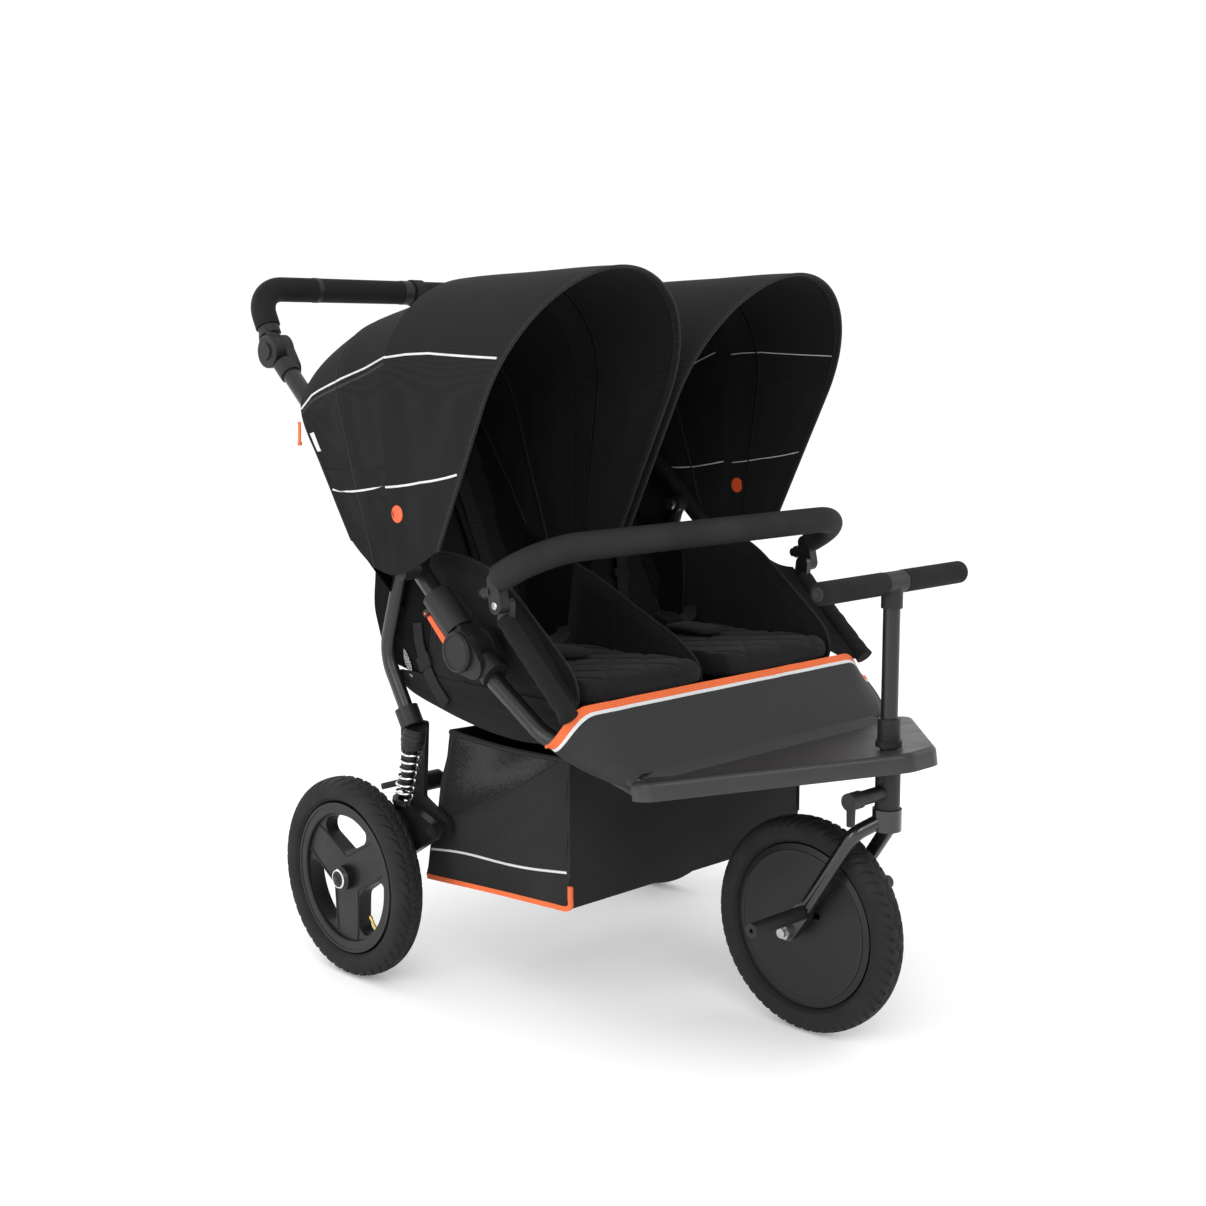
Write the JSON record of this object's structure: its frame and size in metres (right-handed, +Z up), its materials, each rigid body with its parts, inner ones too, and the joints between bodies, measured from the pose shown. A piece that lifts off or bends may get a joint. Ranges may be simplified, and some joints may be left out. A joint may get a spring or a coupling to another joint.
{
  "type": "jogging stroller",
  "caption": "All-terrain jogging stroller with two seats side by side, folding canopies, a castor front wheel on a trailing fork, sprung rear wheels and a folding frame.",
  "frame": {"origin": "on the ground, on the centre plane, half way along the length", "axes": "+X to the pusher's left, -Y forward, +Z up"},
  "size_m": [0.729, 1.0905, 1.0824],
  "materials": {
    "frame_black": "satin powder coat",
    "moulded_black": "fine-grained moulding",
    "tray_grey": "satin moulding",
    "rim_black": "satin moulding",
    "tyre_black": "matt rubber",
    "foam_black": "closed-cell foam",
    "strip_grey": "ribbed rubber on cloth",
    "cloth_black": "coated woven polyester",
    "webbing_black": "woven webbing",
    "steel_bright": "zinc plated",
    "spring_chrome": "polished",
    "orange": "moulded and woven orange",
    "handle_steel": "satin powder coat"
  },
  "bodies": {
    "front_frame": {"front_tubes": "frame_black", "hinge_housings": "moulded_black", "hinge_pins": "moulded_black", "seat_side_tubes": "cloth_black", "bumper_brackets": "frame_black", "head_tube": "moulded_black", "front_tray": "tray_grey", "foot_strip": "strip_grey", "tbar_tubes": "frame_black", "tbar_fittings": "moulded_black", "tbar_grips": "foam_black", "leg_panel": "cloth_black", "seat_pads": "cloth_black", "seat_bucket": "cloth_black", "seat_walls": "cloth_black", "crotch_straps": "cloth_black", "basket": "cloth_black"},
    "handle_frame": {"handle_tubes": "frame_black", "latch_blocks": "moulded_black", "tilt_sockets": "moulded_black", "leg_bolts": "steel_bright", "canopy_hood_left": "cloth_black", "canopy_hood_right": "cloth_black", "canopy_hubs": "moulded_black"},
    "handle": {"handlebar_tube": "handle_steel", "handle_foam": "foam_black", "tilt_discs": "moulded_black", "wrist_strap": "webbing_black"},
    "rear_legs": {"rear_legs": "frame_black", "rear_subframe": "moulded_black", "suspension_springs": "spring_chrome"},
    "bumper": {"bumper_foam": "foam_black", "bumper_ends": "moulded_black"},
    "fork": {"front_fork": "frame_black", "front_axle_and_pegs": "steel_bright"},
    "front_wheel": {"front_tyre": "tyre_black", "front_rim": "rim_black"},
    "swivel_lock": {"swivel_lock_knob": "moulded_black"},
    "brake": {"brake_pedal": "moulded_black"},
    "arm_left": {"suspension_arm_left": "frame_black"},
    "rear_wheel_left": {"rear_tyre_left": "tyre_black", "rear_rim_left": "rim_black"},
    "backrest_left": {"backrest_left": "cloth_black", "harness_pads_left": "cloth_black"},
    "visor_left": {"canopy_visor_left": "cloth_black"},
    "latch_left": {"fold_latch_left": "orange"},
    "tilt_button_left": {"tilt_button_left": "moulded_black"},
    "bumper_button_left": {"bumper_button_left": "moulded_black"},
    "zip_pull_left": {"zip_pull_left": "orange"},
    "arm_right": {"suspension_arm_right": "frame_black"},
    "rear_wheel_right": {"rear_tyre_right": "tyre_black", "rear_rim_right": "rim_black"},
    "backrest_right": {"backrest_right": "cloth_black", "harness_pads_right": "cloth_black"},
    "visor_right": {"canopy_visor_right": "cloth_black"},
    "latch_right": {"fold_latch_right": "orange"},
    "tilt_button_right": {"tilt_button_right": "moulded_black"},
    "bumper_button_right": {"bumper_button_right": "moulded_black"},
    "zip_pull_right": {"zip_pull_right": "orange"}
  },
  "joints": [
    {"name": "frame_fold", "type": "hinge", "parent": "front_frame", "child": "handle_frame", "pos_m": [0, 0.0018, 0.546], "axis": [1, 0, 0], "range_deg": [0, 33]},
    {"name": "rear_leg_fold", "type": "hinge", "parent": "handle_frame", "child": "rear_legs", "pos_m": [0, 0.1778, 0.702], "axis": [1, 0, 0], "range_deg": [-11.5, 0]},
    {"name": "handle_tilt", "type": "hinge", "parent": "handle_frame", "child": "handle", "pos_m": [0, 0.4718, 0.962], "axis": [1, 0, 0], "range_deg": [-50, 30]},
    {"name": "bumper_swing", "type": "hinge", "parent": "front_frame", "child": "bumper", "pos_m": [0, -0.0752, 0.619], "axis": [1, 0, 0], "range_deg": [-40, 35]},
    {"name": "fork_swivel", "type": "hinge", "parent": "front_frame", "child": "fork", "pos_m": [0, -0.4852, 0.33], "axis": [0, 0, 1], "continuous": true},
    {"name": "front_wheel_spin", "type": "hinge", "parent": "fork", "child": "front_wheel", "pos_m": [0, -0.3537, 0.156], "axis": [1, 0, 0], "continuous": true},
    {"name": "swivel_lock_turn", "type": "hinge", "parent": "front_frame", "child": "swivel_lock", "pos_m": [-0.074, -0.4852, 0.374], "axis": [1, 0, 0], "range_deg": [0, 90]},
    {"name": "brake_press", "type": "hinge", "parent": "rear_legs", "child": "brake", "pos_m": [0, 0.2228, 0.3], "axis": [1, 0, 0], "range_deg": [-20, 0]},
    {"name": "suspension_left", "type": "hinge", "parent": "rear_legs", "child": "arm_left", "pos_m": [0.29, 0.1348, 0.25], "axis": [1, 0, 0], "range_deg": [0, 8], "stiffness_Nm_per_rad": 30, "springref_deg": -34.38, "deforming": ["suspension_springs"]},
    {"name": "rear_wheel_spin_left", "type": "hinge", "parent": "arm_left", "child": "rear_wheel_left", "pos_m": [0.33, 0.2848, 0.156], "axis": [1, 0, 0], "continuous": true},
    {"name": "recline_left", "type": "hinge", "parent": "handle_frame", "child": "backrest_left", "pos_m": [0.145, 0.1848, 0.495], "axis": [1, 0, 0], "range_deg": [-32, 0]},
    {"name": "canopy_fold_left", "type": "hinge", "parent": "handle_frame", "child": "visor_left", "pos_m": [0.1865, 0.1148, 0.65], "axis": [1, 0, 0], "range_deg": [-25, 0]},
    {"name": "latch_squeeze_left", "type": "hinge", "parent": "handle_frame", "child": "latch_left", "pos_m": [0.318, 0.09191, 0.58903], "axis": [1, 0, 0], "range_deg": [0, 25], "stiffness_Nm_per_rad": 0.1, "springref_deg": -17.19},
    {"name": "tilt_button_left_push", "type": "slide", "parent": "handle", "child": "tilt_button_left", "axis": [-1, 0, 0], "range_m": [0, 0.004], "stiffness_N_per_m": 400, "springref_m": -0.003},
    {"name": "bumper_button_left_push", "type": "slide", "parent": "bumper", "child": "bumper_button_left", "axis": [0, -0.9839, 0.1789], "range_m": [0, 0.0035], "stiffness_N_per_m": 400, "springref_m": -0.003},
    {"name": "zip_pull_swing_left", "type": "hinge", "parent": "handle_frame", "child": "zip_pull_left", "pos_m": [0.358, 0.3548, 0.857], "axis": [1, 0, 0], "range_deg": [0, 60]},
    {"name": "suspension_right", "type": "hinge", "parent": "rear_legs", "child": "arm_right", "pos_m": [-0.29, 0.1348, 0.25], "axis": [1, 0, 0], "range_deg": [0, 8], "stiffness_Nm_per_rad": 30, "springref_deg": -34.38, "deforming": ["suspension_springs"]},
    {"name": "rear_wheel_spin_right", "type": "hinge", "parent": "arm_right", "child": "rear_wheel_right", "pos_m": [-0.33, 0.2848, 0.156], "axis": [1, 0, 0], "continuous": true},
    {"name": "recline_right", "type": "hinge", "parent": "handle_frame", "child": "backrest_right", "pos_m": [-0.145, 0.1848, 0.495], "axis": [1, 0, 0], "range_deg": [-32, 0]},
    {"name": "canopy_fold_right", "type": "hinge", "parent": "handle_frame", "child": "visor_right", "pos_m": [-0.1865, 0.1148, 0.65], "axis": [1, 0, 0], "range_deg": [-25, 0]},
    {"name": "latch_squeeze_right", "type": "hinge", "parent": "handle_frame", "child": "latch_right", "pos_m": [-0.318, 0.09191, 0.58903], "axis": [1, 0, 0], "range_deg": [0, 25], "stiffness_Nm_per_rad": 0.1, "springref_deg": -17.19},
    {"name": "tilt_button_right_push", "type": "slide", "parent": "handle", "child": "tilt_button_right", "axis": [1, 0, 0], "range_m": [0, 0.004], "stiffness_N_per_m": 400, "springref_m": -0.003},
    {"name": "bumper_button_right_push", "type": "slide", "parent": "bumper", "child": "bumper_button_right", "axis": [0, -0.9839, 0.1789], "range_m": [0, 0.0035], "stiffness_N_per_m": 400, "springref_m": -0.003},
    {"name": "zip_pull_swing_right", "type": "hinge", "parent": "handle_frame", "child": "zip_pull_right", "pos_m": [-0.358, 0.3548, 0.857], "axis": [1, 0, 0], "range_deg": [0, 60]}
  ],
  "couplings": [
    {"joint": "rear_leg_fold", "follows": "frame_fold", "ratio": -0.34}
  ]
}
